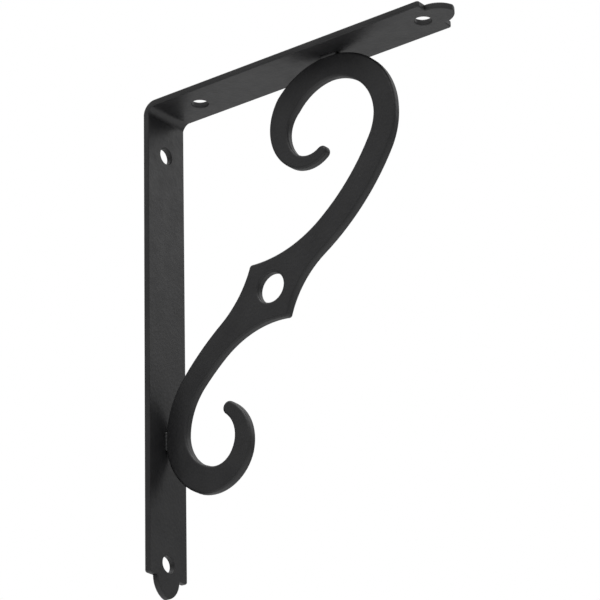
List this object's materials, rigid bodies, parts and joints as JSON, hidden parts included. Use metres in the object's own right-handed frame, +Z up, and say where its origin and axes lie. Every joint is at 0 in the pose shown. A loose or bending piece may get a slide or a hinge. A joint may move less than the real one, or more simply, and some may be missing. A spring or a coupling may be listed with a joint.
{
  "type": "shelf bracket",
  "caption": "Black steel L-shaped shelf bracket, braced by a flat S-shaped scroll plate. It screws to a wall and carries a shelf.",
  "frame": {"origin": "on the back face of the wall leg, on its middle line, midway between its two screw holes", "axes": "+X out from the wall, along the arm; +Y across the strip; +Z up the wall leg, towards the shelf"},
  "size_m": [0.139, 0.0216, 0.199],
  "materials": {
    "strip_coat": "satin black powder coat on bent flat steel",
    "scroll_coat": "satin black powder coat on a cut steel plate"
  },
  "bodies": {
    "root": {"bent_strip": "strip_coat", "scroll_brace": "scroll_coat"}
  },
  "joints": []
}
